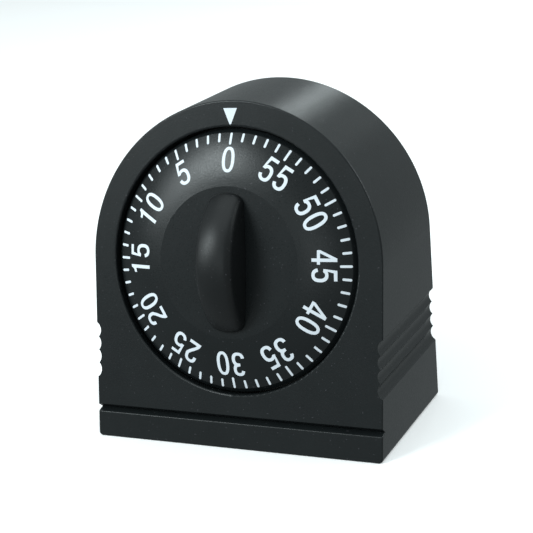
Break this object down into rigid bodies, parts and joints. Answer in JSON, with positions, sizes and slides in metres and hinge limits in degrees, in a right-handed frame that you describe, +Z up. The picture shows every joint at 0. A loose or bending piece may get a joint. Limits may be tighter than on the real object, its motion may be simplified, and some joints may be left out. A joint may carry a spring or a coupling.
{
  "type": "kitchen timer",
  "caption": "Wind-up kitchen timer with an arched wedge case, a large turning dial with a grip bar, and a spring-driven gear train that ends in a bell.",
  "frame": {"origin": "on the base, at the middle of its footprint", "axes": "+X to the right of someone facing the dial, +Y to the back, +Z up"},
  "size_m": [0.08, 0.0499, 0.0857],
  "materials": {
    "case_black": "fine spark-eroded texture",
    "cover_black": "fine spark-eroded texture",
    "dial_black": "satin, with white printed minutes",
    "grip_black": "satin",
    "zinc_steel": "zinc plated",
    "plate_steel": "rolled sheet",
    "arbor_steel": "turned",
    "spring_steel": "blued",
    "wheel_brass": "stamped",
    "bell_steel": "nickel plated"
  },
  "bodies": {
    "case": {"front_casing": "case_black", "rear_cover": "cover_black", "cover_screws": "zinc_steel", "movement_screws": "zinc_steel", "front_plate": "plate_steel", "rear_plate": "plate_steel", "pillars": "arbor_steel", "pillar_nuts": "zinc_steel", "mainspring": "spring_steel", "spring_post": "arbor_steel", "hammer_spring": "spring_steel", "hammer_spring_post": "arbor_steel", "lever_stud": "arbor_steel", "release_spring": "spring_steel", "release_spring_pin": "arbor_steel", "bell": "bell_steel", "bell_post": "arbor_steel", "bell_screw": "zinc_steel"},
    "dial": {"dial_disc": "dial_black", "grip_knob": "grip_black", "main_arbor": "arbor_steel", "clutch_collar": "arbor_steel", "clutch_spring": "spring_steel", "timing_cam": "wheel_brass"},
    "great_wheel": {"great_wheel": "wheel_brass"},
    "second_wheel": {"second_arbor": "arbor_steel", "second_wheel": "wheel_brass", "star_wheel": "wheel_brass"},
    "third_wheel": {"third_arbor": "arbor_steel", "third_wheel": "wheel_brass"},
    "escape_wheel": {"escape_arbor": "arbor_steel", "escape_wheel": "wheel_brass"},
    "balance": {"verge_arbor": "arbor_steel", "pallet_lever": "wheel_brass", "pallet_pins": "arbor_steel", "balance_wheel": "wheel_brass"},
    "hammer": {"hammer_arbor": "arbor_steel", "hammer_tail": "plate_steel", "lock_finger": "plate_steel", "hammer_arm": "plate_steel", "hammer_head": "arbor_steel"},
    "release_lever": {"release_lever": "plate_steel"}
  },
  "joints": [
    {"name": "dial_turn", "type": "hinge", "parent": "case", "child": "dial", "pos_m": [0, 0, 0.04404], "axis": [0, 0.9774, -0.2113], "range_deg": [0, 354], "deforming": ["mainspring"]},
    {"name": "great_wheel_turn", "type": "hinge", "parent": "case", "child": "great_wheel", "pos_m": [0, 0, 0.04404], "axis": [0, 0.9774, -0.2113], "range_deg": [0, 354]},
    {"name": "second_wheel_turn", "type": "hinge", "parent": "case", "child": "second_wheel", "pos_m": [0.0153, -0.00385, 0.02622], "axis": [0, 0.9774, -0.2113], "range_deg": [-2655, 0]},
    {"name": "third_wheel_turn", "type": "hinge", "parent": "case", "child": "third_wheel", "pos_m": [0.00007, -0.00535, 0.01928], "axis": [0, 0.9774, -0.2113], "range_deg": [0, 15930]},
    {"name": "escape_wheel_turn", "type": "hinge", "parent": "case", "child": "escape_wheel", "pos_m": [-0.01193, -0.00535, 0.01928], "axis": [0, 0.9774, -0.2113], "range_deg": [-79650, 0]},
    {"name": "balance_swing", "type": "hinge", "parent": "case", "child": "balance", "pos_m": [-0.02038, -0.0047, 0.02229], "axis": [0, 0.9774, -0.2113], "range_deg": [-6, 6]},
    {"name": "hammer_swing", "type": "hinge", "parent": "case", "child": "hammer", "pos_m": [0.0285, -0.00127, 0.03817], "axis": [0, 0.9774, -0.2113], "range_deg": [-0.8, 8], "deforming": ["hammer_spring"]},
    {"name": "release_lever_swing", "type": "hinge", "parent": "case", "child": "release_lever", "pos_m": [0.012, 0.00275, 0.05674], "axis": [0, 0.9774, -0.2113], "range_deg": [0, 4], "deforming": ["release_spring"]}
  ],
  "couplings": [
    {"joint": "great_wheel_turn", "follows": "dial_turn", "ratio": 1},
    {"joint": "second_wheel_turn", "follows": "dial_turn", "ratio": -7.5},
    {"joint": "third_wheel_turn", "follows": "dial_turn", "ratio": 45},
    {"joint": "escape_wheel_turn", "follows": "dial_turn", "ratio": -225}
  ]
}
